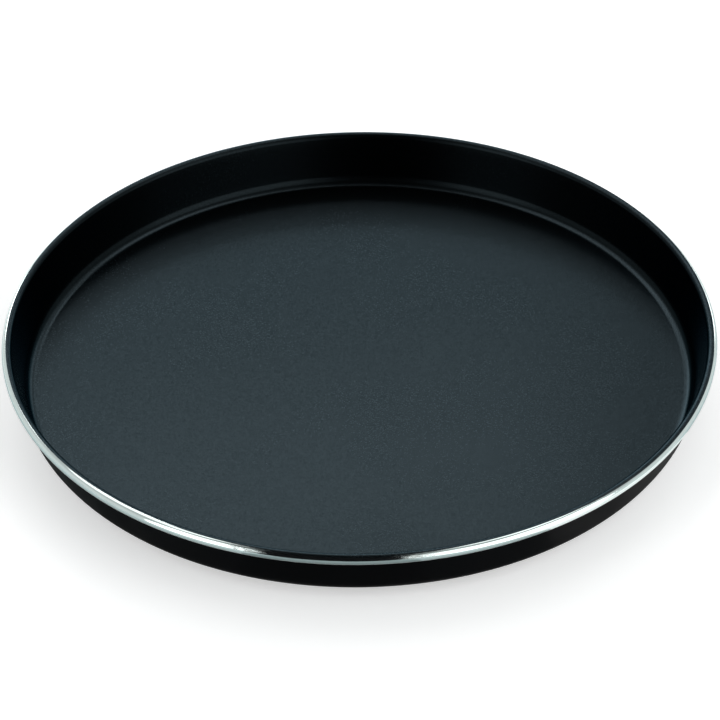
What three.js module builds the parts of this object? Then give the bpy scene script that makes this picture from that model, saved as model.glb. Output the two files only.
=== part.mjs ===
// A shallow round browning plate for a microwave oven. One aluminium sheet is pressed into a dish with a
// flared wall, and its edge is rolled outwards into a bead. The cooking side has a non-stick lining, the
// outside a black lacquer, and an absorber layer with silicone feet is bonded under the floor.
// Sizes are in millimetres and angles in degrees. +Z is up, and the plate stands on z = 0.
import * as THREE from "three";

// Pressed pan
const RIM_DIAMETER = 305; // outside the rolled bead
const DISH_DEPTH = 22.8; // from the metal floor up to the bead's crest
const SHEET = 1.2; // thickness of the aluminium
const CORNER_RADIUS = 5; // inside, between floor and wall
const WALL_FLARE = 14; // the wall's lean from upright
const CURL_HOLLOW = 1.8; // diameter of the space inside the roll
const CURL_GAP = 0.4; // between the end of the roll and the wall

// Coats
const LINING = 0.15; // non-stick coat on the cooking side
const LINING_END = 80; // where the lining stops on the bead, in degrees up from its outermost line
const LACQUER = 0.15; // black coat on the outside
const LAYER_GAP = 0.05; // between one bonded layer and the next

// Absorber under the floor
const ABSORBER = 2.5; // thickness
const ABSORBER_MARGIN = 7; // from the edge of the flat underside in to the absorber
const ABSORBER_EDGE = 0.5; // eased edges
const BOND = 0.3; // thickness of the bond film
const BOND_INSET = 1; // from the absorber's edge in to the film's edge
const LACQUER_LAP = 0.6; // bare ring between the lacquer and the absorber

// Feet
const FOOT_COUNT = 6;
const FOOT_DIAMETER = 14;
const FOOT_STAND = 2; // height below the absorber
const FOOT_EDGE = 0.8; // rounding round the foot's bottom
const FOOT_INSET = 30; // from the absorber's edge in to the middle of a foot
const FOOT_CLEARANCE = 0.3; // round each foot in its hole

// Facets
const TURNS = 72; // round the plate
const FOOT_TURNS = 20; // round a foot and its hole
const CORNER_STEPS = 4; // across a rounded corner of the pan
const FOOT_STEPS = 2; // across a foot's rounded edge
const DEGREES_PER_BEAD_STEP = 30;

// Levels of the layers, from the feet up
const absorberTop = FOOT_STAND + ABSORBER;
const bondBottom = absorberTop + LAYER_GAP;
const bondTop = bondBottom + BOND;
const floorTop = bondTop + LAYER_GAP + SHEET;

// The section's two round stretches: the bead, and the corner that a wall of this flare joins to it
const flare = THREE.MathUtils.degToRad(WALL_FLARE);
const wallUp = new THREE.Vector2(Math.sin(flare), Math.cos(flare));
const wallOut = new THREE.Vector2(Math.cos(flare), -Math.sin(flare));
const beadRadius = CURL_HOLLOW / 2 + SHEET;
const bead = new THREE.Vector2(RIM_DIAMETER / 2 - beadRadius, floorTop + DISH_DEPTH - beadRadius);
const cornerHeight = floorTop + CORNER_RADIUS;
const wallRun = (CORNER_RADIUS + beadRadius + (bead.y - cornerHeight) * wallUp.x) / wallOut.x;
const corner = new THREE.Vector2(bead.x - wallRun, cornerHeight);

// The roll stops short of the wall's outer face, on the bead's underside.
const curlEndFromWallOut = THREE.MathUtils.radToDeg(Math.acos((CURL_GAP - CURL_HOLLOW / 2) / beadRadius));
const curlEnd = -WALL_FLARE - curlEndFromWallOut;

const absorberRadius = corner.x - ABSORBER_MARGIN;
const footRadius = FOOT_DIAMETER / 2;
const footCircle = absorberRadius - FOOT_INSET;

// Points on a round stretch, with angles in degrees from the outward direction
function arc(centre, radius, from, to, steps) {
  return Array.from({ length: steps + 1 }, (_, i) => {
    const angle = THREE.MathUtils.degToRad(from + ((to - from) * i) / steps);
    return new THREE.Vector2(centre.x + radius * Math.cos(angle), centre.y + radius * Math.sin(angle));
  });
}

// The pressed section. An offset lifts a line off the sheet's cooking side, and a negative one sinks it.
function floorPoint(radius, offset) {
  return new THREE.Vector2(radius, floorTop + offset);
}

function cornerArc(offset) {
  return arc(corner, CORNER_RADIUS - offset, -90, -WALL_FLARE, CORNER_STEPS);
}

function wallPoint(belowBead, offset) {
  return bead.clone().addScaledVector(wallOut, -beadRadius - offset).addScaledVector(wallUp, -belowBead);
}

function beadArc(offset, end) {
  const start = 180 - WALL_FLARE;
  const steps = Math.ceil((start - end) / DEGREES_PER_BEAD_STEP);
  return arc(bead, beadRadius + offset, start, end, steps);
}

// A profile turned into a solid about +Z
function turned(profile, turns) {
  return new THREE.LatheGeometry(profile, turns).rotateX(Math.PI / 2);
}

// A layer that covers the whole dish, from the axis to a place on the bead
function dishLayer(lower, upper, end) {
  const line = (offset) => [floorPoint(0, offset), ...cornerArc(offset), ...beadArc(offset, end)];
  return turned([...line(lower), ...line(upper).reverse()], TURNS);
}

function lacquerLayer() {
  const line = (offset) => [
    floorPoint(absorberRadius + LACQUER_LAP, offset),
    ...cornerArc(offset),
    wallPoint(beadRadius, offset),
  ];
  const outside = line(-SHEET - LAYER_GAP - LACQUER);
  const against = line(-SHEET - LAYER_GAP).reverse();
  return turned([...outside, ...against, outside[0]], TURNS);
}

function bondFilm() {
  const radius = absorberRadius - BOND_INSET;
  const profile = [
    new THREE.Vector2(0, bondBottom),
    new THREE.Vector2(radius, bondBottom),
    new THREE.Vector2(radius, bondTop),
    new THREE.Vector2(0, bondTop),
  ];
  return turned(profile, TURNS);
}

// Corners of a regular outline, one for each turn
function ring(centre, radius, turns) {
  return arc(centre, radius, 0, 360, turns).slice(0, -1);
}

function footCentres() {
  return ring(new THREE.Vector2(0, 0), footCircle, FOOT_COUNT);
}

function absorberDisc() {
  const outline = new THREE.Shape(ring(new THREE.Vector2(0, 0), absorberRadius, TURNS));
  for (const centre of footCentres()) {
    outline.holes.push(new THREE.Path(ring(centre, footRadius + FOOT_CLEARANCE, FOOT_TURNS)));
  }
  const disc = new THREE.ExtrudeGeometry(outline, {
    depth: ABSORBER - 2 * ABSORBER_EDGE,
    bevelThickness: ABSORBER_EDGE,
    bevelSize: ABSORBER_EDGE,
    bevelOffset: -ABSORBER_EDGE,
    bevelSegments: 1,
  });
  return disc.translate(0, 0, FOOT_STAND + ABSORBER_EDGE);
}

function foot() {
  const edge = new THREE.Vector2(footRadius - FOOT_EDGE, FOOT_EDGE);
  const profile = [
    new THREE.Vector2(0, 0),
    ...arc(edge, FOOT_EDGE, -90, 0, FOOT_STEPS),
    new THREE.Vector2(footRadius, absorberTop),
    new THREE.Vector2(0, absorberTop),
  ];
  return turned(profile, FOOT_TURNS);
}

// Finishes
const bareAluminium = { color: 0xc3d0cd, roughness: 0.22, metalness: 1 };
const nonstickCoat = { color: 0x2d3437, roughness: 0.42, metalness: 0 };
const blackLacquer = { color: 0x0b0b0d, roughness: 0.35, metalness: 0 };
const redSilicone = { color: 0x7a2f22, roughness: 0.6, metalness: 0 };
const ferriteSilicone = { color: 0x3b302b, roughness: 0.7, metalness: 0 };
const blackSilicone = { color: 0x1a1a1b, roughness: 0.65, metalness: 0 };

const plate = new THREE.Group();

function addPiece(name, geometry, finish) {
  const piece = new THREE.Mesh(geometry, new THREE.MeshStandardMaterial(finish));
  piece.name = name;
  plate.add(piece);
  return piece;
}

addPiece("pan_shell", dishLayer(-SHEET, 0, curlEnd), bareAluminium);
addPiece("nonstick_lining", dishLayer(LAYER_GAP, LAYER_GAP + LINING, LINING_END), nonstickCoat);
addPiece("outer_lacquer", lacquerLayer(), blackLacquer);
addPiece("bond_film", bondFilm(), redSilicone);
addPiece("absorber_disc", absorberDisc(), ferriteSilicone);
footCentres().forEach((centre, i) => {
  addPiece(`foot_${i + 1}`, foot(), blackSilicone).position.set(centre.x, centre.y, 0);
});

export default plate;
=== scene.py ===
# %% [markdown]
# # A microwave crisp plate
# The plate is one pressed aluminium dish with coats on both sides and an absorber layer on feet
# under its floor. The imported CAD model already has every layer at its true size, so it is loaded
# first and used as a frame. A Blender model could also start from nothing, but then each piece
# would have to be fitted by eye.

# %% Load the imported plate
import math

import bmesh
import bpy
from mathutils import Matrix, Vector


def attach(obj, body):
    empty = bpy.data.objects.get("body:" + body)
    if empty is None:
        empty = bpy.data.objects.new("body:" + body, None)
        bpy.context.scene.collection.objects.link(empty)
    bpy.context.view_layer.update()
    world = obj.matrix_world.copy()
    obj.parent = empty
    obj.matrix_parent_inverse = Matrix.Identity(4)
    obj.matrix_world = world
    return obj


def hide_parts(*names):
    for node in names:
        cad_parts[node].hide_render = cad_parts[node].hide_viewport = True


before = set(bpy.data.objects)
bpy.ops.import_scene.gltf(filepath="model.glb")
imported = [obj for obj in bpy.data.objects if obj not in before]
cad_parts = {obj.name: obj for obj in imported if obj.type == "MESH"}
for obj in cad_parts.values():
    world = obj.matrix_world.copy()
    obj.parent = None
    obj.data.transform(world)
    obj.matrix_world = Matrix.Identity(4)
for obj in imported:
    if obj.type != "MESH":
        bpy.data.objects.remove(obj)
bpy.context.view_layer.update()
scene = bpy.context.scene
MM = 0.001
print("CAD nodes:", sorted(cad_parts))

# %% [markdown]
# ## The sizes that drive everything
# Blender works in metres here, and a plate is easier to read in millimetres, so each size is
# written as millimetres times MM. Angles are in degrees. The sizes repeat the CAD model's values:
# a finer mesh only fits its frame if both follow the same numbers.

# %% Name the sizes of the plate
# Pressed pan
RIM_RADIUS = 152.5 * MM
DISH_DEPTH = 22.8 * MM
SHEET = 1.2 * MM
CORNER_RADIUS = 5 * MM
WALL_FLARE = 14  # the wall's lean from upright
CURL_HOLLOW = 1.8 * MM
CURL_GAP = 0.4 * MM

# Coats
LINING = 0.15 * MM
LINING_END = 80  # up from the bead's outermost line
LACQUER = 0.15 * MM
LACQUER_LAP = 0.6 * MM
LAYER_GAP = 0.05 * MM

# Absorber and its bond film
ABSORBER = 2.5 * MM
ABSORBER_MARGIN = 7 * MM
ABSORBER_EDGE = 0.5 * MM
BOND = 0.3 * MM
BOND_INSET = 1 * MM

# Feet
FOOT_COUNT = 6
FOOT_RADIUS = 7 * MM
FOOT_STAND = 2 * MM
FOOT_EDGE = 0.8 * MM
FOOT_INSET = 30 * MM
FOOT_CLEARANCE = 0.3 * MM

# Levels of the layers, from the feet up, and the middle of the bead's section
absorber_top = FOOT_STAND + ABSORBER
bond_bottom = absorber_top + LAYER_GAP
bond_top = bond_bottom + BOND
floor_top = bond_top + LAYER_GAP + SHEET
bead_radius = CURL_HOLLOW / 2 + SHEET
bead = Vector((RIM_RADIUS - bead_radius, floor_top + DISH_DEPTH - bead_radius))
print("Metal floor at", round(floor_top / MM, 2), "mm")
print("Bead centre at", [round(v / MM, 2) for v in bead], "mm")

# %% [markdown]
# ## The camera
# The photograph was taken from well above the rim with a long lens. The focal length, the height
# of the view and a slight tilt come from fitting circles to the rim and to the line where the wall
# meets the floor. The camera could be placed by turning it by hand, but a matrix that is built
# from its three axes says exactly where it looks.

# %% Place the camera
IMAGE_PIXELS = 720
FOCAL_PIXELS = 3508
SENSOR_MM = 36
VIEW_DISTANCE = 1.5
VIEW_ELEVATION = math.radians(36.65)
VIEW_TILT = math.radians(-0.85)
RIM_CENTRE_PIXEL = Vector((359.2, 331.4))


def camera_matrix(target):
    level_right = Vector((1, 0, 0))
    level_up = Vector((0, math.sin(VIEW_ELEVATION), math.cos(VIEW_ELEVATION)))
    forward = Vector((0, math.cos(VIEW_ELEVATION), -math.sin(VIEW_ELEVATION)))
    right = math.cos(VIEW_TILT) * level_right + math.sin(VIEW_TILT) * level_up
    up = math.cos(VIEW_TILT) * level_up - math.sin(VIEW_TILT) * level_right
    position = target - VIEW_DISTANCE * forward
    middle = (Vector((IMAGE_PIXELS, IMAGE_PIXELS)) / 2 - RIM_CENTRE_PIXEL) / FOCAL_PIXELS
    aim = (forward + middle.x * right - middle.y * up).normalized()
    right = aim.cross(up).normalized()
    up = right.cross(aim)
    rotation = Matrix((right, up, -aim)).transposed().to_4x4()
    return Matrix.Translation(position) @ rotation


camera = bpy.data.objects.new("camera", bpy.data.cameras.new("camera"))
camera.data.sensor_width = SENSOR_MM
camera.data.lens = SENSOR_MM * FOCAL_PIXELS / IMAGE_PIXELS
camera.matrix_world = camera_matrix(Vector((0, 0, bead.y)))
scene.collection.objects.link(camera)
scene.camera = camera
scene.view_settings.view_transform = "Standard"
print("Camera lens in mm:", round(camera.data.lens, 1))

# %% [markdown]
# ## The pressed section
# Sheet, lining and lacquer all follow one line: along the floor, round the corner, up the flared
# wall and over the bead. A press makes them that way, so the section is written once as a function
# of its distance from the cooking side, which is above zero for the lining and below zero for the
# metal and the lacquer. Drawing three sections would let them drift apart.

# %% Work out the corner, the wall, the end of the curl and the absorber
flare = math.radians(WALL_FLARE)
wall_up = Vector((math.sin(flare), math.cos(flare)))
wall_out = Vector((math.cos(flare), -math.sin(flare)))
corner_height = floor_top + CORNER_RADIUS
wall_run = (CORNER_RADIUS + bead_radius + (bead.y - corner_height) * wall_up.x) / wall_out.x
corner = Vector((bead.x - wall_run, corner_height))
curl_end = -WALL_FLARE - math.degrees(math.acos((CURL_GAP - CURL_HOLLOW / 2) / bead_radius))
absorber_radius = corner.x - ABSORBER_MARGIN
foot_circle = absorber_radius - FOOT_INSET
print("Corner centre at", [round(v / MM, 2) for v in corner], "mm")
print("The curl ends at", round(curl_end, 1), "degrees")

# %% Write the section's stretches
FLOOR_RINGS = [0, 0.12, 0.25, 0.4, 0.55, 0.7, 0.82, 0.92]  # shares of the floor's flat radius
CORNER_STEPS = 20
WALL_STEPS = 6
DEGREES_PER_BEAD_STEP = 5


def arc(centre, radius, start, end, steps):
    angles = [math.radians(start + (end - start) * i / steps) for i in range(steps + 1)]
    return [centre + radius * Vector((math.cos(a), math.sin(a))) for a in angles]


def floor_line(offset):
    return [Vector((corner.x * share, floor_top + offset)) for share in FLOOR_RINGS]


def corner_line(offset):
    return arc(corner, CORNER_RADIUS - offset, -90, -WALL_FLARE, CORNER_STEPS)


def wall_point(below_bead, offset):
    return bead - wall_out * (bead_radius + offset) - wall_up * below_bead


def wall_line(offset, top):
    foot = corner_line(offset)[-1]
    return [foot.lerp(top, i / WALL_STEPS) for i in range(1, WALL_STEPS)]


def bead_line(offset, end):
    start = 180 - WALL_FLARE
    steps = round((start - end) / DEGREES_PER_BEAD_STEP)
    return arc(bead, bead_radius + offset, start, end, steps)


def dish_line(offset, end):
    over = bead_line(offset, end)
    return floor_line(offset) + corner_line(offset) + wall_line(offset, over[0]) + over


print("A dish line has", len(dish_line(0, curl_end)), "points")

# %% [markdown]
# A cut edge of sheet or dried paint is never square. A small half circle between the two faces of
# a layer gives the edge its round nose, and because it is part of the section, it goes all the way
# round when the section is turned.

# %% Round the end of a layer
NOSE_STEPS = 6


def rounded_end(first, last, ahead):
    middle = (first + last) / 2
    across = (first - last) / 2
    forward = ahead.normalized() * across.length
    angles = [math.pi * i / NOSE_STEPS for i in range(1, NOSE_STEPS)]
    return [middle + across * math.cos(a) + forward * math.sin(a) for a in angles]


def dish_layer(lower, upper, end):
    under = dish_line(lower, end)
    over = dish_line(upper, end)
    nose = rounded_end(under[-1], over[-1], under[-1] - under[-2])
    return under + nose + over[::-1]


pan_section = dish_layer(-SHEET, 0, curl_end)
lining_section = dish_layer(LAYER_GAP, LAYER_GAP + LINING, LINING_END)
print("Sections:", len(pan_section), "points in the pan and", len(lining_section), "in the lining")

# %% [markdown]
# ## Small helpers for node trees
# Both Geometry Nodes and materials are node trees. One helper adds a node, sets its options and
# fills or links its inputs, so that each tree below reads as a list of what it does.

# %% Add a node to any tree
def fill_inputs(tree, node, inputs):
    for name, value in inputs.items():
        if isinstance(value, bpy.types.NodeSocket):
            tree.links.new(value, node.inputs[name])
        else:
            node.inputs[name].default_value = value


def add_node(tree, kind, options=None, inputs=None):
    node = tree.nodes.new(kind)
    for name, value in (options or {}).items():
        setattr(node, name, value)
    fill_inputs(tree, node, inputs or {})
    return node


def math_node(tree, operation, first, second=0.0):
    inputs = {0: first, 1: second}
    return add_node(tree, "ShaderNodeMath", {"operation": operation}, inputs).outputs[0]


def vector_node(tree, operation, inputs):
    node = add_node(tree, "ShaderNodeVectorMath", {"operation": operation}, inputs)
    return node.outputs["Value" if operation == "LENGTH" else "Vector"]


def axes_of(tree, place):
    return add_node(tree, "ShaderNodeSeparateXYZ", None, {0: place}).outputs


def ranged(tree, value, low, high, start=0.3, end=0.7):
    return add_node(tree, "ShaderNodeMapRange", None, {
        "Value": value, "From Min": start, "From Max": end,
        "To Min": low, "To Max": high}).outputs["Result"]


print("Node helpers are ready")

# %% [markdown]
# A Geometry Nodes tree starts with named inputs, which a modifier can set. It ends with its copies
# made real, because an export drops instances, and with a finish on every face.

# %% Start and end a geometry tree
def geometry_tree(name, sockets):
    tree = bpy.data.node_groups.new(name, "GeometryNodeTree")
    for label, kind in sockets.items():
        tree.interface.new_socket(label, in_out="INPUT", socket_type="NodeSocket" + kind)
    tree.interface.new_socket("Piece", in_out="OUTPUT", socket_type="NodeSocketGeometry")
    return tree, tree.nodes.new("NodeGroupInput").outputs


def geometry_node(tree, kind, inputs, options=None):
    return add_node(tree, "GeometryNode" + kind, options, inputs).outputs[0]


def end_tree(tree, shape, finish):
    real = geometry_node(tree, "RealizeInstances", {0: shape})
    painted = geometry_node(tree, "SetMaterial", {0: real, "Material": finish})
    add_node(tree, "NodeGroupOutput", None, {"Piece": painted})
    return tree


print("Geometry helpers are ready")

# %% [markdown]
# ## Turning a section with Geometry Nodes
# The dish and its coats are turned shapes, so one rule makes them all: copy the section round the
# axis. Screw and Spin do the same, but a node tree keeps its inputs by name and can add what a
# real pressing has. The rim wanders a few hundredths of a millimetre, and its reflections waver
# with it.

# %% Let the rim wander
WANDER_SCALE = 5.0
WANDER_DETAIL = 3.0
FLAT = (1, 1, 0)


def wandering(tree, place, rim_radius, amount):
    flat = vector_node(tree, "MULTIPLY", {0: place, 1: FLAT})
    outward = vector_node(tree, "NORMALIZE", {0: flat})
    radius = vector_node(tree, "LENGTH", {0: flat})
    noise = add_node(tree, "ShaderNodeTexNoise", {"noise_dimensions": "3D"}, {
        "Vector": outward, "Scale": WANDER_SCALE, "Detail": WANDER_DETAIL})
    swing = math_node(tree, "SUBTRACT", noise.outputs["Fac"], 0.5)
    share = math_node(tree, "MULTIPLY", math_node(tree, "DIVIDE", radius, rim_radius), amount)
    push = vector_node(tree, "SCALE", {
        0: outward, "Scale": math_node(tree, "MULTIPLY", swing, share)})
    return vector_node(tree, "ADD", {0: place, 1: push})


print("The rim wanders with noise of scale", WANDER_SCALE)

# %% [markdown]
# The edge of the lining on the bead isn't even either: the coat reaches a little further out,
# except where handling has worn it back. A worn place has its side of the rim in degrees, the
# degrees of bead it has lost, and how narrow it is. Points near the lining's end slip round the
# bead by that much, and points on the wall stay where they are.

# %% Wear the lining's edge
WORN_PLACES = [(-175, 21, 2), (-123, 27, 14), (-67, 28, 24), (25, 13, 5)]


def worn_edge(tree, place, angle, spread, wear):
    centre = (bead.x, 0, bead.y)
    axes = axes_of(tree, vector_node(tree, "SUBTRACT", {0: place, 1: centre}))
    lean = add_node(tree, "ShaderNodeMath", {"operation": "WRAP"}, {
        0: math_node(tree, "ARCTAN2", axes["Z"], axes["X"]), 1: math.tau, 2: 0.0}).outputs[0]
    along = ranged(tree, lean, 0, 1, math.radians(180 - WALL_FLARE), math.radians(LINING_END))
    slip = spread
    for side, depth, narrowness in WORN_PLACES:
        facing = math_node(tree, "COSINE", math_node(tree, "SUBTRACT", angle, math.radians(side)))
        near = math_node(tree, "POWER", math_node(tree, "MAXIMUM", facing, 0), narrowness)
        lost = math_node(tree, "MULTIPLY", near, math.radians(depth))
        slip = math_node(tree, "SUBTRACT", slip, math_node(tree, "MULTIPLY", lost, wear))
    slip = math_node(tree, "MULTIPLY", along, slip)
    return add_node(tree, "ShaderNodeVectorRotate", {"rotation_type": "Y_AXIS"}, {
        "Vector": place, "Center": centre, "Angle": slip}).outputs[0]


print("The lining has", len(WORN_PLACES), "worn places")

# %% [markdown]
# The tree itself lays out a grid with one column for each point of the section and one row for
# each turn. Each of its points looks up its place on the section and is swung round the axis.

# %% Build the turning tree
TURNED_SEAM = 1e-7


def turning_tree():
    tree, given = geometry_tree("turned", {
        "Section": "Geometry", "Turns": "Int", "Wander": "Float", "Rim Radius": "Float",
        "Edge Spread": "Float", "Edge Wear": "Float", "Finish": "Material"})
    points = geometry_node(
        tree, "AttributeDomainSize", {0: given["Section"]}, {"component": "MESH"})
    rows = math_node(tree, "ADD", given["Turns"], 1)
    grid = geometry_node(tree, "MeshGrid", {"Vertices X": rows, "Vertices Y": points})
    index = geometry_node(tree, "InputIndex", {})
    row = math_node(tree, "DIVIDE", math_node(tree, "ADD", index, 0.5), points)
    turn = math_node(tree, "FLOOR", row)
    column = math_node(tree, "SUBTRACT", index, math_node(tree, "MULTIPLY", turn, points))
    position = geometry_node(tree, "InputPosition", {})
    looked_up = geometry_node(
        tree, "SampleIndex", {"Geometry": given["Section"], "Value": position, "Index": column},
        {"data_type": "FLOAT_VECTOR", "domain": "POINT"})
    part_turn = math_node(tree, "FRACT", math_node(tree, "DIVIDE", turn, given["Turns"]))
    angle = math_node(tree, "MULTIPLY", part_turn, math.tau)
    edged = worn_edge(tree, looked_up, angle, given["Edge Spread"], given["Edge Wear"])
    swung = add_node(tree, "ShaderNodeVectorRotate", {"rotation_type": "Z_AXIS"}, {
        "Vector": edged, "Angle": angle}).outputs[0]
    moved = wandering(tree, swung, given["Rim Radius"], given["Wander"])
    placed = geometry_node(tree, "SetPosition", {"Geometry": grid, "Position": moved})
    closed = geometry_node(
        tree, "MergeByDistance", {"Geometry": placed, "Distance": TURNED_SEAM})
    return end_tree(tree, geometry_node(tree, "SetShadeSmooth", {0: closed}), given["Finish"])


turned = turning_tree()
print("Turning tree has", len(turned.nodes), "nodes")

# %% [markdown]
# A modifier only shows its result while Blender evaluates it. To keep the piece as a plain mesh,
# the section goes into an object, the tree is set by the identifiers of its inputs, the evaluated
# result is copied, and the modifier is taken off. Turning can leave faces that look inwards, so
# the normals are worked out again on the closed mesh.

# %% Turn a tree's result into a plain piece
SHARP_DEGREES = 38


def point_out(mesh):
    work = bmesh.new()
    work.from_mesh(mesh)
    bmesh.ops.recalc_face_normals(work, faces=work.faces)
    loose_edges = sum(not edge.is_manifold for edge in work.edges)
    work.to_mesh(mesh)
    work.free()
    return loose_edges


def piece_from_tree(name, tree, values, section=()):
    start = bpy.data.meshes.new(name + "_start")
    start.from_pydata([(point.x, 0, point.y) for point in section], [], [])
    piece = bpy.data.objects.new(name, start)
    modifier = piece.modifiers.new("shape", "NODES")
    modifier.node_group = tree
    sockets = [item for item in tree.interface.items_tree if item.in_out == "INPUT"]
    identifiers = {item.name: item.identifier for item in sockets}
    for label, value in values.items():
        modifier[identifiers[label]] = value
    scene.collection.objects.link(piece)
    view = bpy.context.evaluated_depsgraph_get()
    made = bpy.data.meshes.new_from_object(
        piece.evaluated_get(view), preserve_all_data_layers=True, depsgraph=view)
    piece.modifiers.remove(modifier)
    piece.data = made
    loose_edges = point_out(made)
    made.set_sharp_from_angle(angle=math.radians(SHARP_DEGREES))
    print(name, "has", len(made.polygons), "faces and", loose_edges, "open edges")
    return piece


def stands_for(piece, slot, *nodes):
    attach(piece, "root")
    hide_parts(*nodes)


print("Edges of more than", SHARP_DEGREES, "degrees will be shaded sharp")

# %% [markdown]
# ## Finishes
# Each finish is one Principled shader with noise on Object coordinates, which are metres from the
# plate's centre, so a noise scale of 1000 gives grain of about a millimetre. Image textures could
# do this, but they would need files and seams. A Mix node lists its sockets for numbers before
# those for colours, so the colour sockets are found by their places in that list.

# %% Start a finish
COLOUR_A, COLOUR_B, COLOUR_RESULT = 6, 7, 2


def start_finish(name):
    finish = bpy.data.materials.new(name)
    finish.use_nodes = True
    tree = finish.node_tree
    place = add_node(tree, "ShaderNodeTexCoord").outputs["Object"]
    return finish, tree, tree.nodes["Principled BSDF"], place


def noise_node(tree, place, scale=1.0, detail=2.0, roughness=0.5):
    return add_node(tree, "ShaderNodeTexNoise", None, {
        "Vector": place, "Scale": scale, "Detail": detail,
        "Roughness": roughness}).outputs["Fac"]


def mixed_colour(tree, share, dark, light):
    return add_node(tree, "ShaderNodeMix", {"data_type": "RGBA"}, {
        "Factor": share, COLOUR_A: dark, COLOUR_B: light}).outputs[COLOUR_RESULT]


def bumped(tree, height, depth, strength):
    return add_node(tree, "ShaderNodeBump", None, {
        "Height": height, "Distance": depth, "Strength": strength}).outputs["Normal"]


def around_rim(tree, place, round_scale, across_scale):
    axes = axes_of(tree, place)
    angle = math_node(tree, "ARCTAN2", axes["Y"], axes["X"])
    radius = vector_node(tree, "LENGTH", {0: vector_node(tree, "MULTIPLY", {0: place, 1: FLAT})})
    return add_node(tree, "ShaderNodeCombineXYZ", None, {
        "X": math_node(tree, "MULTIPLY", angle, RIM_RADIUS * round_scale),
        "Y": math_node(tree, "MULTIPLY", radius, across_scale),
        "Z": math_node(tree, "MULTIPLY", axes["Z"], across_scale)}).outputs[0]


print("Finish helpers are ready")

# %% [markdown]
# ### Bare aluminium
# The outside of the bead is the only metal that shows. It was rolled and polished bright, so it
# mirrors the studio, with fine turned lines along the rim, faint marks across it where the rollers
# gripped, a few longer rubs and a cloudy haze. Noise that is stretched along the rim draws the
# lines, and the same noise stretched the other way draws the marks.

# %% Make the bare aluminium
METAL_DARK = (0.72, 0.80, 0.78, 1)
METAL_LIGHT = (0.80, 0.88, 0.865, 1)
MARK_HEIGHT = 0.3
LINE_HEIGHT = 4.0


def bare_aluminium():
    finish, tree, shader, place = start_finish("bare_aluminium")
    grip = noise_node(tree, around_rim(tree, place, round_scale=2600, across_scale=160))
    rubs = noise_node(tree, around_rim(tree, place, round_scale=60, across_scale=2200), detail=3.0)
    lines = noise_node(tree, around_rim(tree, place, round_scale=30, across_scale=9000))
    haze = noise_node(tree, place, scale=90, detail=3.0)
    marks = math_node(tree, "MULTIPLY", math_node(tree, "ADD", grip, rubs), MARK_HEIGHT)
    relief = math_node(tree, "ADD", marks, math_node(tree, "MULTIPLY", lines, LINE_HEIGHT))
    rubbed = ranged(tree, rubs, low=0.0, high=0.05, start=0.55, end=0.8)
    fill_inputs(tree, shader, {
        "Metallic": 1,
        "Base Color": mixed_colour(tree, haze, METAL_DARK, METAL_LIGHT),
        "Roughness": math_node(tree, "ADD", ranged(tree, haze, low=0.03, high=0.07), rubbed),
        "Normal": bumped(tree, relief, depth=0.004 * MM, strength=0.5)})
    return finish


rim_metal = bare_aluminium()
print("Bare aluminium has", len(rim_metal.node_tree.nodes), "nodes")

# %% [markdown]
# ### The pan
# The pan is the pressing itself: floor, corner, wall and a bead that is rolled outwards until its
# edge stops just short of the wall. Only its bead and a thin ring underneath stay bare, but the
# whole pressing is made, because it carries the rest.

# %% Turn the pan
TURNS = 360
RIM_WANDER = 0.08 * MM


def turned_piece(name, section, finish, edge_spread=0.0, edge_wear=0.0):
    return piece_from_tree(name, turned, {
        "Turns": TURNS, "Wander": RIM_WANDER, "Rim Radius": RIM_RADIUS,
        "Edge Spread": edge_spread, "Edge Wear": edge_wear, "Finish": finish}, section)


pan = turned_piece("pressed_pan", pan_section, rim_metal)
stands_for(pan, "bare_aluminium", "pan_shell")

# %% [markdown]
# ### The non-stick lining
# The cooking side is a satin coat that is sprayed on and baked. Close up it is slate grey with a
# very fine grain, and nearly all the light that it sends back is sheen. So it is made as a dark
# metallic flake coat, whose colour is its sheen, and the grain goes into colour, roughness and
# bump together. A plain plastic shader would need a brighter studio for the same sheen. On the
# upright wall and the top of its corner the coat's colour is painted darker, as painted shade,
# and it turns light again on the crest of the bead.

# %% Make the non-stick finish
FLOOR_COAT = (0.048, 0.063, 0.0715, 1)
# The wall's colour is painted shade: the same coat made darker, from the top of the corner up to
# the crest.
WALL_SHADE_COAT = (0.014, 0.0185, 0.021, 1)
GRAIN_COAT = (0.001, 0.002, 0.002, 1)
GLANCING_TINT = (0.44, 0.49, 0.52, 1)
SHADE_START, SHADE_FULL = floor_top + 0.6 * MM, floor_top + 1.2 * MM
CREST_START, CREST_FULL = bead.y + 1.6 * MM, bead.y + 2.2 * MM


def nonstick_finish():
    finish, tree, shader, place = start_finish("nonstick_coat")
    grain = noise_node(tree, place, scale=1500, roughness=0.6)
    cloud = noise_node(tree, place, scale=16, detail=3.0)
    height = axes_of(tree, place)["Z"]
    above_floor = ranged(tree, height, 0, 1, SHADE_START, SHADE_FULL)
    below_crest = ranged(tree, height, 1, 0, CREST_START, CREST_FULL)
    # Mask of the painted shade: the coat is darkened between the corner and the crest of the bead.
    wall_shade = math_node(tree, "MULTIPLY", above_floor, below_crest)
    coat = mixed_colour(tree, wall_shade, FLOOR_COAT, WALL_SHADE_COAT)
    grained = ranged(tree, grain, low=0.34, high=0.66)
    fine = ranged(tree, grain, low=-0.015, high=0.015)
    fill_inputs(tree, shader, {
        "Metallic": 1,
        "Specular Tint": GLANCING_TINT,
        "Base Color": mixed_colour(tree, grained, GRAIN_COAT, coat),
        "Roughness": math_node(tree, "ADD", fine, ranged(tree, cloud, low=0.25, high=0.27)),
        "Normal": bumped(tree, grain, depth=0.03 * MM, strength=0.2)})
    return finish


nonstick = nonstick_finish()
print("Non-stick finish has", len(nonstick.node_tree.nodes), "nodes")

# %% Turn the lining
EDGE_SPREAD = math.radians(18)
EDGE_WEAR = 1.0
lining = turned_piece("nonstick_lining_coat", lining_section, nonstick, EDGE_SPREAD, EDGE_WEAR)
stands_for(lining, "nonstick_coat", "nonstick_lining")

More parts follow.
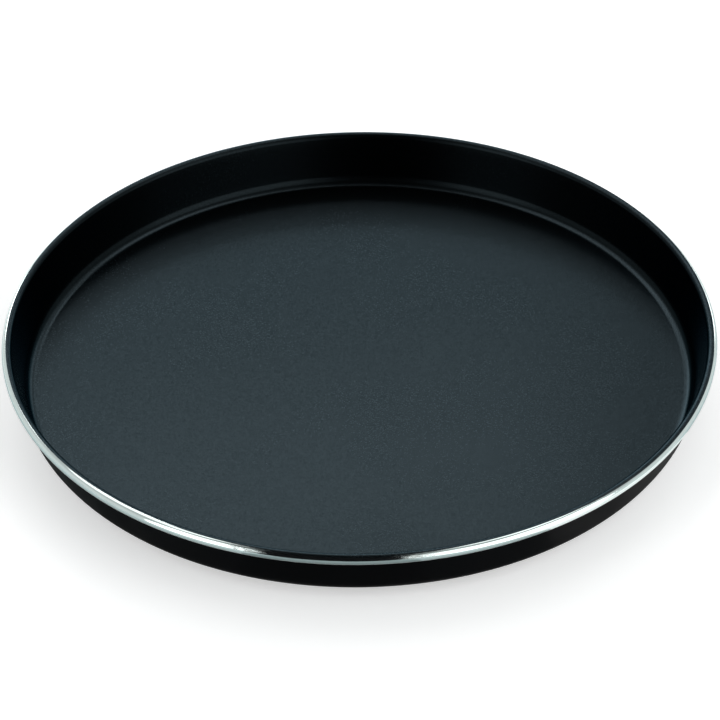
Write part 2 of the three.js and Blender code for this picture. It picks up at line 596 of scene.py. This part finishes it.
# %% [markdown]
# ### The black lacquer outside
# The outside of the wall is sprayed black up to just under the bead, and the spray ends on the
# flat underside a little outside the absorber. It is a closed band, so its section is a loop with
# a round nose at each end.

# %% Make and turn the lacquer
LACQUER_DARK = (0.0012, 0.0012, 0.0015, 1)
LACQUER_LIGHT = (0.003, 0.0031, 0.0036, 1)


def lacquer_finish():
    finish, tree, shader, place = start_finish("black_lacquer")
    peel = noise_node(tree, place, scale=620)
    cloud = noise_node(tree, place, scale=45, detail=3.0)
    fill_inputs(tree, shader, {
        "Specular IOR Level": 0.02,
        "Base Color": mixed_colour(tree, cloud, LACQUER_DARK, LACQUER_LIGHT),
        "Roughness": ranged(tree, cloud, low=0.40, high=0.54),
        "Normal": bumped(tree, peel, depth=0.02 * MM, strength=0.3)})
    return finish


def lacquer_line(offset):
    start = Vector((absorber_radius + LACQUER_LAP, floor_top + offset))
    top = wall_point(bead_radius, offset)
    return [start] + corner_line(offset) + wall_line(offset, top) + [top]


def lacquer_loop():
    under = lacquer_line(-SHEET - LAYER_GAP - LACQUER)
    over = lacquer_line(-SHEET - LAYER_GAP)
    top_nose = rounded_end(under[-1], over[-1], wall_up)
    inner_nose = rounded_end(over[0], under[0], Vector((-1, 0)))
    return under + top_nose + over[::-1] + inner_nose + under[:1]


lacquer = turned_piece("outer_lacquer_coat", lacquer_loop(), lacquer_finish())
stands_for(lacquer, "black_lacquer", "outer_lacquer")

# %% [markdown]
# ### The bond film
# A thin film of cured red silicone holds the absorber. It shows only as a line in the gap round
# the absorber's edge, where it was pressed out into a small bulge, so it is a turned disc with a
# rounded rim. The film, the absorber and the feet are three silicones of one kind of finish.

# %% Make and turn the bond film
def silicone_finish(name, dark, light, smooth, rough, grain_scale):
    finish, tree, shader, place = start_finish(name)
    grain = noise_node(tree, place, scale=grain_scale, detail=3.0, roughness=0.6)
    cloud = noise_node(tree, place, scale=60)
    fill_inputs(tree, shader, {
        "Specular IOR Level": 0.35,
        "Base Color": mixed_colour(tree, grain, dark, light),
        "Roughness": ranged(tree, cloud, smooth, rough),
        "Normal": bumped(tree, grain, depth=0.03 * MM, strength=0.4)})
    return finish


def film_section():
    edge = absorber_radius - BOND_INSET
    lower, upper = Vector((edge, bond_bottom)), Vector((edge, bond_top))
    bulge = rounded_end(lower, upper, Vector((1, 0)))
    return [Vector((0, bond_bottom)), lower, *bulge, upper, Vector((0, bond_top))]


film_silicone = silicone_finish(
    "red_silicone", dark=(0.20, 0.035, 0.025, 1), light=(0.34, 0.075, 0.05, 1),
    smooth=0.45, rough=0.62, grain_scale=900)
film = turned_piece("bond_film_disc", film_section(), film_silicone)
stands_for(film, "red_silicone", "bond_film")

# %% [markdown]
# ### The absorber
# The layer that makes the heat is moulded from silicone filled with ferrite powder: dark, matt and
# grainy, with a hole for each foot. A disc with holes follows a rule, so Geometry Nodes make it:
# circles are filled between, pulled to thickness and closed. A Boolean would cut the holes too,
# but it leaves messier edges.

# %% Build the absorber's tree
HOLE_TURNS = 72
ABSORBER_SEAM = 1e-6


def joined(tree, parts):
    node = add_node(tree, "GeometryNodeJoinGeometry")
    for part in parts:
        tree.links.new(part, node.inputs[0])
    return node.outputs[0]


def repeated(tree, shape, count, circle):
    centres = geometry_node(tree, "MeshCircle", {"Vertices": count, "Radius": circle})
    return geometry_node(tree, "InstanceOnPoints", {0: centres, "Instance": shape})


def circle_curve(tree, turns, radius):
    return geometry_node(tree, "CurvePrimitiveCircle", {"Resolution": turns, "Radius": radius})


def upward(tree, distance):
    return add_node(tree, "ShaderNodeCombineXYZ", None, {"Z": distance}).outputs[0]


def absorber_tree():
    tree, given = geometry_tree("absorber", {
        "Start": "Geometry", "Radius": "Float", "Thickness": "Float", "Bottom": "Float",
        "Hole Radius": "Float", "Hole Circle": "Float", "Holes": "Int", "Finish": "Material"})
    outline = circle_curve(tree, TURNS, given["Radius"])
    hole = circle_curve(tree, HOLE_TURNS, given["Hole Radius"])
    holes = repeated(tree, hole, given["Holes"], given["Hole Circle"])
    real_holes = geometry_node(tree, "RealizeInstances", {0: holes})
    bottom = geometry_node(tree, "FillCurve", {0: joined(tree, [outline, real_holes])})
    pulled = geometry_node(
        tree, "ExtrudeMesh",
        {0: bottom, "Offset": upward(tree, given["Thickness"]), "Offset Scale": 1.0,
         "Individual": False},
        {"mode": "FACES"})
    both = joined(tree, [pulled, bottom])
    closed = geometry_node(tree, "MergeByDistance", {0: both, "Distance": ABSORBER_SEAM})
    placed = geometry_node(
        tree, "SetPosition", {0: closed, "Offset": upward(tree, given["Bottom"])})
    return end_tree(tree, placed, given["Finish"])


absorber_shape = absorber_tree()
print("Absorber tree has", len(absorber_shape.nodes), "nodes")

# %% [markdown]
# A Bevel modifier eases the edges as a mould does. It must not slide along the edges beside the
# bevel, because the filled faces end in slivers there and would fold over. Only the upright faces
# are shaded smooth, so that the flat ones stay flat.

# %% Make the absorber
UPRIGHT = 0.5
EASED_STEPS = 3

ferrite = silicone_finish(
    "ferrite_silicone", dark=(0.030, 0.020, 0.016, 1), light=(0.105, 0.070, 0.055, 1),
    smooth=0.6, rough=0.8, grain_scale=1100)
absorber = piece_from_tree("absorber_layer", absorber_shape, {
    "Radius": absorber_radius, "Thickness": ABSORBER, "Bottom": FOOT_STAND,
    "Hole Radius": FOOT_RADIUS + FOOT_CLEARANCE, "Hole Circle": foot_circle,
    "Holes": FOOT_COUNT, "Finish": ferrite})
for face in absorber.data.polygons:
    face.use_smooth = abs(face.normal.z) < UPRIGHT
eased = absorber.modifiers.new("eased edges", "BEVEL")
eased.width = ABSORBER_EDGE
eased.segments = EASED_STEPS
eased.limit_method = "ANGLE"
eased.loop_slide = False
stands_for(absorber, "ferrite_silicone", "absorber_disc")

# %% [markdown]
# ### The feet
# Six plain silicone feet come through the absorber and keep it off the glass. One foot is turned
# by the tree above, and a second tree repeats it round a circle, so their number and circle stay
# inputs. A small dimple under each foot is left by the mould.

# %% Repeat a turned foot
FOOT_TURNS = 64
FOOT_STEPS = 6
FOOT_DIMPLE = 2.6 * MM
FOOT_DIMPLE_DEPTH = 0.35 * MM


def feet_tree():
    tree, given = geometry_tree("feet", {
        "Section": "Geometry", "Turns": "Int", "Feet": "Int", "Circle": "Float",
        "Finish": "Material"})
    foot = geometry_node(
        tree, "Group",
        {"Section": given["Section"], "Turns": given["Turns"], "Wander": 0.0, "Rim Radius": 1.0,
         "Finish": given["Finish"]},
        {"node_tree": turned})
    copies = repeated(tree, foot, given["Feet"], given["Circle"])
    return end_tree(tree, copies, given["Finish"])


def dimple_point(share):
    depth = FOOT_DIMPLE_DEPTH * (1 + math.cos(math.pi * share)) / 2
    return Vector((FOOT_DIMPLE * share, depth))


def foot_section():
    dimple = [dimple_point(i / FOOT_STEPS) for i in range(FOOT_STEPS + 1)]
    edge_centre = Vector((FOOT_RADIUS - FOOT_EDGE, FOOT_EDGE))
    edge = arc(edge_centre, FOOT_EDGE, -90, 0, FOOT_STEPS)
    return dimple + edge + [Vector((FOOT_RADIUS, absorber_top)), Vector((0, absorber_top))]


foot_silicone = silicone_finish(
    "black_silicone", dark=(0.012, 0.012, 0.012, 1), light=(0.026, 0.026, 0.027, 1),
    smooth=0.5, rough=0.68, grain_scale=1400)
feet = piece_from_tree("silicone_feet", feet_tree(), {
    "Turns": FOOT_TURNS, "Feet": FOOT_COUNT, "Circle": foot_circle,
    "Finish": foot_silicone}, foot_section())
stands_for(feet, "black_silicone", *[f"foot_{i + 1}" for i in range(FOOT_COUNT)])

# %% [markdown]
# ## The studio
# A pale floor and a pale world light the plate evenly. The floor also glows a little, but only for
# the camera and for reflections, so it looks bright without lighting the plate from below. Every
# sheet in the studio is a strip of quads between pairs of corners.

# %% Lay the floor
FLOOR_HALF = 4.0
FLOOR_LEVEL = -0.1 * MM
FLOOR_COLOUR = (0.85, 0.85, 0.85, 1)
FLOOR_GLOW = 0.45


def plain_sheet(name, corners, finish):
    faces = [(i, i + 1, i + 3, i + 2) for i in range(0, len(corners) - 2, 2)]
    mesh = bpy.data.meshes.new(name)
    mesh.from_pydata(corners, [], faces)
    sheet = bpy.data.objects.new(name, mesh)
    mesh.materials.append(finish)
    scene.collection.objects.link(sheet)
    return sheet


def stage_finish(name, colour, glow=0.0):
    finish = bpy.data.materials.new(name)
    finish.use_nodes = True
    tree = finish.node_tree
    shader = tree.nodes["Principled BSDF"]
    fill_inputs(tree, shader, {"Base Color": colour, "Roughness": 0.9, "Specular IOR Level": 0.0})
    if glow:
        rays = add_node(tree, "ShaderNodeLightPath").outputs
        seen = math_node(tree, "MAXIMUM", rays["Is Camera Ray"], rays["Is Glossy Ray"])
        seen = math_node(tree, "MAXIMUM", seen, rays["Is Transmission Ray"])
        fill_inputs(tree, shader, {
            "Emission Color": (1, 1, 1, 1),
            "Emission Strength": math_node(tree, "MULTIPLY", seen, glow)})
    return finish


sides = (-FLOOR_HALF, FLOOR_HALF)
floor_corners = [(x, y, FLOOR_LEVEL) for y in sides for x in sides]
plain_sheet("floor", floor_corners, stage_finish("pale_floor", FLOOR_COLOUR, FLOOR_GLOW))
print("Floor of", 2 * FLOOR_HALF, "m")

# %% [markdown]
# ### The lamps
# A polished rim shows what stands in front of it, so two large lamps sit left and right of the
# camera. A satin floor shows what stands behind it, so three lamps at the back give the dish its
# sheen, and two from above draw the lines in its corner. A lamp has its side and height in
# degrees, with the camera at zero, then its distance, width and height in metres, and its
# radiance. Radiance times area gives the power, so a lamp can be resized and stays as bright.

# %% Hang the lamps
LAMPS = {
    "right_lamp": (42, 30.5, 1.3, 1.56, 1.48, 1.2),
    "left_lamp": (-46, 30.5, 1.3, 0.74, 1.48, 1.2),
    "back_lamp": (-169, 23, 4.0, 2.4, 1.0, 3.3),
    "high_lamp": (-168.5, 43, 1.3, 0.78, 0.12, 2.9),
    "side_lamp": (150, 19, 4.0, 1.4, 1.5, 1.8),
    "left_top_lamp": (-138, 59, 2.4, 1.30, 0.85, 0.95),
    "right_top_lamp": (146, 62, 2.4, 0.90, 0.85, 1.05),
}


def softbox(name, azimuth, elevation, distance, width, height, radiance):
    lamp = bpy.data.lights.new(name, "AREA")
    lamp.shape = "RECTANGLE"
    lamp.size = width
    lamp.size_y = height
    lamp.energy = radiance * math.pi * width * height
    box = bpy.data.objects.new(name, lamp)
    turn, rise = math.radians(azimuth), math.radians(elevation)
    level = math.cos(rise)
    away = Vector((math.sin(turn) * level, -math.cos(turn) * level, math.sin(rise)))
    rotation = away.to_track_quat("Z", "Y").to_matrix().to_4x4()
    box.matrix_world = Matrix.Translation(away * distance) @ rotation
    box.visible_camera = False
    scene.collection.objects.link(box)


for lamp_name, lamp_values in LAMPS.items():
    softbox(lamp_name, *lamp_values)
print("Lamps:", len(LAMPS))

# %% [markdown]
# ### The black cloth
# Between the two front lamps hangs black cloth for the rim's dark middle, with narrow strips
# beside it. Where it has to hang follows from the rim: a ray from the camera is mirrored at a spot
# on the bead, and the cloth goes where the ray arrives. So a cloth is given by the stretch of rim,
# in degrees from the middle, that should look dark.

# %% Hang the black cloth
CLOTH_COLOUR = (0.008, 0.008, 0.009, 1)
CLOTH_REACH = 1.15
LOW_TILT, TILT_SPAN = 18.5, 61.5
STRIP_STEPS = 12
CLOTHS = {
    "wide_cloth": (-16.0, 7.0),
    "left_strip": (-17.8, -16.7),
    "left_end_strip": (-19.6, -18.9),
    "right_strip": (7.7, 8.8),
    "right_end_strip": (10.0, 10.6),
}


def mirrored_spot(turn, tilt, reach):
    turn, tilt = math.radians(turn), math.radians(tilt)
    outward = Vector((math.sin(turn), -math.cos(turn), 0))
    normal = outward * math.cos(tilt) + Vector((0, 0, math.sin(tilt)))
    spot = outward * bead.x + Vector((0, 0, bead.y)) + normal * bead_radius
    view = (camera.location - spot).normalized()
    return spot + (2 * view.dot(normal) * normal - view) * reach


def black_cloth(name, start, end):
    tilts = [LOW_TILT + TILT_SPAN * i / STRIP_STEPS for i in range(STRIP_STEPS + 1)]
    corners = [mirrored_spot(turn, tilt, CLOTH_REACH) for tilt in tilts for turn in (start, end)]
    cloth = plain_sheet(name, corners, stage_finish(name, CLOTH_COLOUR))
    cloth.visible_camera = False


for cloth_name, stretch in CLOTHS.items():
    black_cloth(cloth_name, *stretch)
print("Black cloths:", len(CLOTHS))

# %% [markdown]
# ### The grey cards
# Grey cards on the floor keep the underside of the rim from turning white. Each is a ring's sector
# that only reflections see: it is hidden from the camera, gives no bounce and casts no shadow.

# %% Lay the cards
CARD_NEAR, CARD_FAR = 0.146, 1.2
GREY_CARD = (0.71, 0.79, 0.80, 1)
DARK_CARD = (0.38, 0.44, 0.45, 1)


def floor_card(name, start, end, level, colour):
    steps = range(STRIP_STEPS + 1)
    turns = [math.radians(start + (end - start) * i / STRIP_STEPS) for i in steps]
    corners = [(far * math.sin(turn), -far * math.cos(turn), level)
               for turn in turns for far in (CARD_NEAR, CARD_FAR)]
    card = plain_sheet(name, corners, stage_finish(name, colour))
    card.visible_camera = False
    card.visible_diffuse = False
    card.visible_shadow = False


floor_card("grey_card", -115, 34, 0.5 * MM, GREY_CARD)
floor_card("right_card", 72, 140, 0.5 * MM, GREY_CARD)
floor_card("dark_card", -21, 10, 1 * MM, DARK_CARD)
print("Cards reach", CARD_FAR, "m from the plate's axis")

# %% [markdown]
# ### The world
# The world is the light that comes from everywhere else. It is pale and slightly cool, and darker
# overhead, as a studio's ceiling is. Its height is the Z of the direction looked in: 0 is level
# and 1 is straight up.

# %% Light the world
WORLD_COLOUR = (0.96, 1.0, 1.0, 1)
WORLD_LEVEL = 0.74
ZENITH_LEVEL = 0.4
DIMS_FROM, DIMS_TO = 0.45, 0.93


def studio_world():
    world = bpy.data.worlds.new("studio")
    world.use_nodes = True
    tree = world.node_tree
    height = axes_of(tree, add_node(tree, "ShaderNodeTexCoord").outputs["Generated"])["Z"]
    level = ranged(tree, height, WORLD_LEVEL, ZENITH_LEVEL, DIMS_FROM, DIMS_TO)
    fill_inputs(tree, tree.nodes["Background"], {"Color": WORLD_COLOUR, "Strength": level})
    return world


scene.world = studio_world()
print("World level", WORLD_LEVEL, "and", ZENITH_LEVEL, "overhead")
